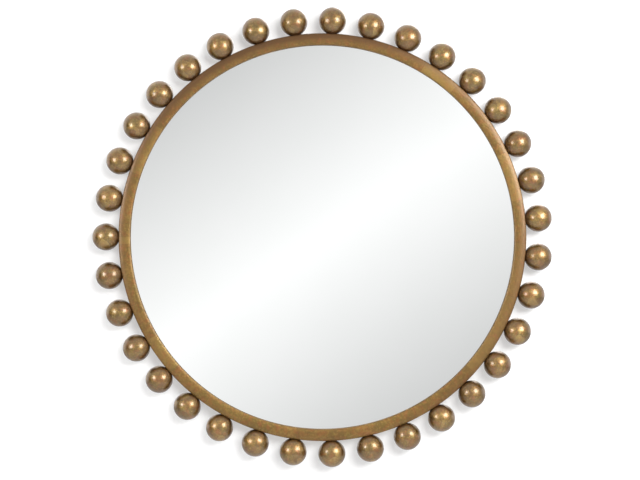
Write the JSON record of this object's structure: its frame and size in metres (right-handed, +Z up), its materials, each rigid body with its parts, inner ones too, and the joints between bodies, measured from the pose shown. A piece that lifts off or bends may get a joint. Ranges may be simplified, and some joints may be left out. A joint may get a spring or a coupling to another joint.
{
  "type": "round wall mirror with a beaded ring frame",
  "caption": "Round flat wall mirror in a narrow gold-leafed steel ring with spaced balls welded round its rim, and D-ring hangers behind.",
  "frame": {"origin": "centre of the back board's rear face, on the mirror's own axis", "axes": "+Z up as it hangs, +Y out of the back towards the wall, +X to the right of someone looking into the mirror"},
  "size_m": [1.1173, 0.0626, 1.1183],
  "materials": {
    "gold_leaf": "antiqued gold leaf over a dark brown base coat on steel, satin",
    "silvered_glass": "flat float glass silvered on its back",
    "foam": "black closed-cell foam tape",
    "fibreboard": "plain medium-density fibreboard, sealed",
    "bare_steel": "welded steel under brown base coat",
    "zinc_plate": "bright zinc plate"
  },
  "bodies": {
    "mirror": {"face_ring": "gold_leaf", "rim_band": "gold_leaf", "ball_01": "gold_leaf", "ball_02": "gold_leaf", "ball_03": "gold_leaf", "ball_04": "gold_leaf", "ball_05": "gold_leaf", "ball_06": "gold_leaf", "ball_07": "gold_leaf", "ball_08": "gold_leaf", "ball_09": "gold_leaf", "ball_10": "gold_leaf", "ball_11": "gold_leaf", "ball_12": "gold_leaf", "ball_13": "gold_leaf", "ball_14": "gold_leaf", "ball_15": "gold_leaf", "ball_16": "gold_leaf", "ball_17": "gold_leaf", "ball_18": "gold_leaf", "ball_19": "gold_leaf", "ball_20": "gold_leaf", "ball_21": "gold_leaf", "ball_22": "gold_leaf", "ball_23": "gold_leaf", "ball_24": "gold_leaf", "ball_25": "gold_leaf", "ball_26": "gold_leaf", "ball_27": "gold_leaf", "ball_28": "gold_leaf", "ball_29": "gold_leaf", "ball_30": "gold_leaf", "ball_31": "gold_leaf", "ball_32": "gold_leaf", "ball_33": "gold_leaf", "ball_34": "gold_leaf", "ball_35": "gold_leaf", "foam_tape": "foam", "mirror_glass": "silvered_glass", "back_board": "fibreboard", "post_01": "bare_steel", "post_02": "bare_steel", "post_03": "bare_steel", "post_04": "bare_steel", "post_05": "bare_steel", "post_06": "bare_steel", "board_screw_01": "zinc_plate", "board_screw_02": "zinc_plate", "board_screw_03": "zinc_plate", "board_screw_04": "zinc_plate", "board_screw_05": "zinc_plate", "board_screw_06": "zinc_plate", "hanger_strap_left": "zinc_plate", "hanger_strap_right": "zinc_plate", "strap_screw_left_01": "zinc_plate", "strap_screw_left_02": "zinc_plate", "strap_screw_right_01": "zinc_plate", "strap_screw_right_02": "zinc_plate"},
    "d_ring_left": {"d_ring_left": "zinc_plate"},
    "d_ring_right": {"d_ring_right": "zinc_plate"}
  },
  "joints": [
    {"name": "d_ring_left_swing", "type": "hinge", "parent": "mirror", "child": "d_ring_left", "pos_m": [-0.3, 0.00385, 0.24], "axis": [1, 0, 0], "range_deg": [0, 180]},
    {"name": "d_ring_right_swing", "type": "hinge", "parent": "mirror", "child": "d_ring_right", "pos_m": [0.3, 0.00385, 0.24], "axis": [1, 0, 0], "range_deg": [0, 180]}
  ]
}
